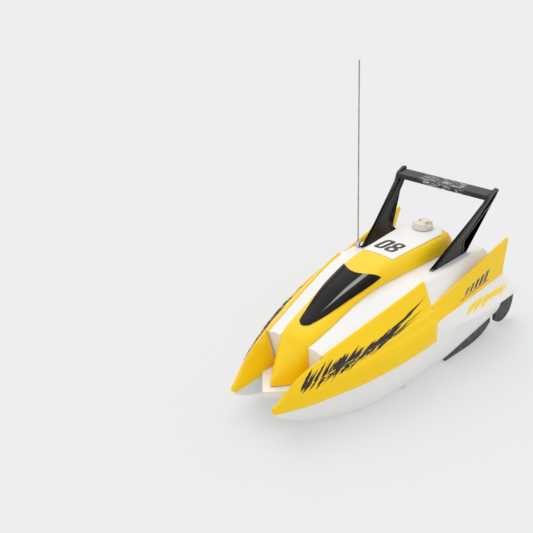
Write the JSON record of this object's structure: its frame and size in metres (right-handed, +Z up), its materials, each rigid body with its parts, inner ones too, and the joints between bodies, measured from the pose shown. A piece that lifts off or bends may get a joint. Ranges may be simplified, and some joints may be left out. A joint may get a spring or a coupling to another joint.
{
  "type": "radio-controlled toy boat",
  "caption": "Toy racing catamaran with two pointed sponsons, lift-off cowl, raked rear arch, tail fins, trim rudders and propellers under each hull.",
  "frame": {"origin": "centre of the bounding box at the ground the hulls stand on", "axes": "+Z up, bow towards -Y, port side +X"},
  "size_m": [0.158, 0.2981, 0.257],
  "materials": {
    "white_plastic": "white moulded gloss plastic",
    "hull_white": "white moulded gloss plastic",
    "yellow_plastic": "warm yellow gloss plastic",
    "screen_black": "polished black plastic",
    "arch_black": "black plastic, slight texture",
    "guard_black": "matt black plastic",
    "rudder_black": "matt black plastic",
    "knob_cream": "off-white plastic",
    "steel_wire": "bare spring steel",
    "bright_steel": "ground steel",
    "zinc_screw": "zinc plated",
    "brass": "turned brass",
    "motor_steel": "drawn steel can",
    "rubber_black": "black rubber",
    "prop_plastic": "dark plastic",
    "cell_wrap": "shrink wrap",
    "tray_grey": "grey plastic",
    "board_green": "solder resist",
    "chip_black": "moulded epoxy",
    "crystal_can": "pressed can",
    "coil_copper": "enamelled winding",
    "lead_red": "PVC insulation",
    "lead_black": "PVC insulation"
  },
  "bodies": {
    "hull": {"aerial_lead": "lead_black", "aerial_nut": "bright_steel", "aerial_socket": "bright_steel", "aerial_wire": "steel_wire", "arch_port_strut": "arch_black", "arch_starboard_strut": "arch_black", "arch_wing": "arch_black", "battery_leads": "lead_red", "battery_pack": "cell_wrap", "battery_tray": "tray_grey", "board_screws": "zinc_screw", "bracket_screws": "zinc_screw", "deck_screws": "zinc_screw", "deck_upper": "white_plastic", "drive_cover_screws": "zinc_screw", "hull_lower": "hull_white", "port_drive_cover": "guard_black", "port_fin": "yellow_plastic", "port_motor": "motor_steel", "port_motor_leads": "lead_red", "port_motor_mount": "tray_grey", "port_rudder_bracket": "rudder_black", "port_sponson_cover": "yellow_plastic", "port_stuffing_tube": "brass", "receiver_board": "board_green", "receiver_chips": "chip_black", "receiver_coils": "coil_copper", "receiver_crystal": "crystal_can", "starboard_drive_cover": "guard_black", "starboard_fin": "yellow_plastic", "starboard_motor": "motor_steel", "starboard_motor_leads": "lead_red", "starboard_motor_mount": "tray_grey", "starboard_rudder_bracket": "rudder_black", "starboard_sponson_cover": "yellow_plastic", "starboard_stuffing_tube": "brass", "switch_housing": "chip_black", "switch_leads": "lead_red", "water_contacts": "zinc_screw"},
    "cowl": {"cowl": "yellow_plastic", "windscreen": "screen_black", "roof_plate": "white_plastic"},
    "hatch_latch": {"hatch_knob": "knob_cream", "latch_post": "knob_cream"},
    "port_drive": {"port_motor_shaft": "bright_steel", "port_coupling": "rubber_black", "port_prop_shaft": "bright_steel", "port_propeller": "prop_plastic", "port_prop_nut": "zinc_screw"},
    "starboard_drive": {"starboard_motor_shaft": "bright_steel", "starboard_coupling": "rubber_black", "starboard_prop_shaft": "bright_steel", "starboard_propeller": "prop_plastic", "starboard_prop_nut": "zinc_screw"},
    "port_rudder": {"port_rudder": "rudder_black", "port_rudder_pintle": "bright_steel"},
    "starboard_rudder": {"starboard_rudder": "rudder_black", "starboard_rudder_pintle": "bright_steel"},
    "power_switch": {"switch_slider": "chip_black"}
  },
  "joints": [
    {"name": "cowl_lift", "type": "slide", "parent": "hull", "child": "cowl", "axis": [0, 0, 1], "range_m": [0, 0.028]},
    {"name": "latch_turn", "type": "hinge", "parent": "cowl", "child": "hatch_latch", "pos_m": [0, 0.075, 0.105], "axis": [0, 0, 1], "range_deg": [0, 90]},
    {"name": "port_drive_spin", "type": "hinge", "parent": "hull", "child": "port_drive", "pos_m": [0.0435, 0.1209, 0.0105], "axis": [0, 1, 0], "continuous": true},
    {"name": "starboard_drive_spin", "type": "hinge", "parent": "hull", "child": "starboard_drive", "pos_m": [-0.0435, 0.1209, 0.0105], "axis": [0, 1, 0], "continuous": true},
    {"name": "port_rudder_turn", "type": "hinge", "parent": "hull", "child": "port_rudder", "pos_m": [0.056, 0.1194, 0.02], "axis": [0, 0, 1], "range_deg": [-20, 20]},
    {"name": "starboard_rudder_turn", "type": "hinge", "parent": "hull", "child": "starboard_rudder", "pos_m": [-0.056, 0.1194, 0.02], "axis": [0, 0, 1], "range_deg": [-20, 20]},
    {"name": "switch_slide", "type": "slide", "parent": "hull", "child": "power_switch", "axis": [1, 0, 0], "range_m": [0, 0.004]}
  ]
}
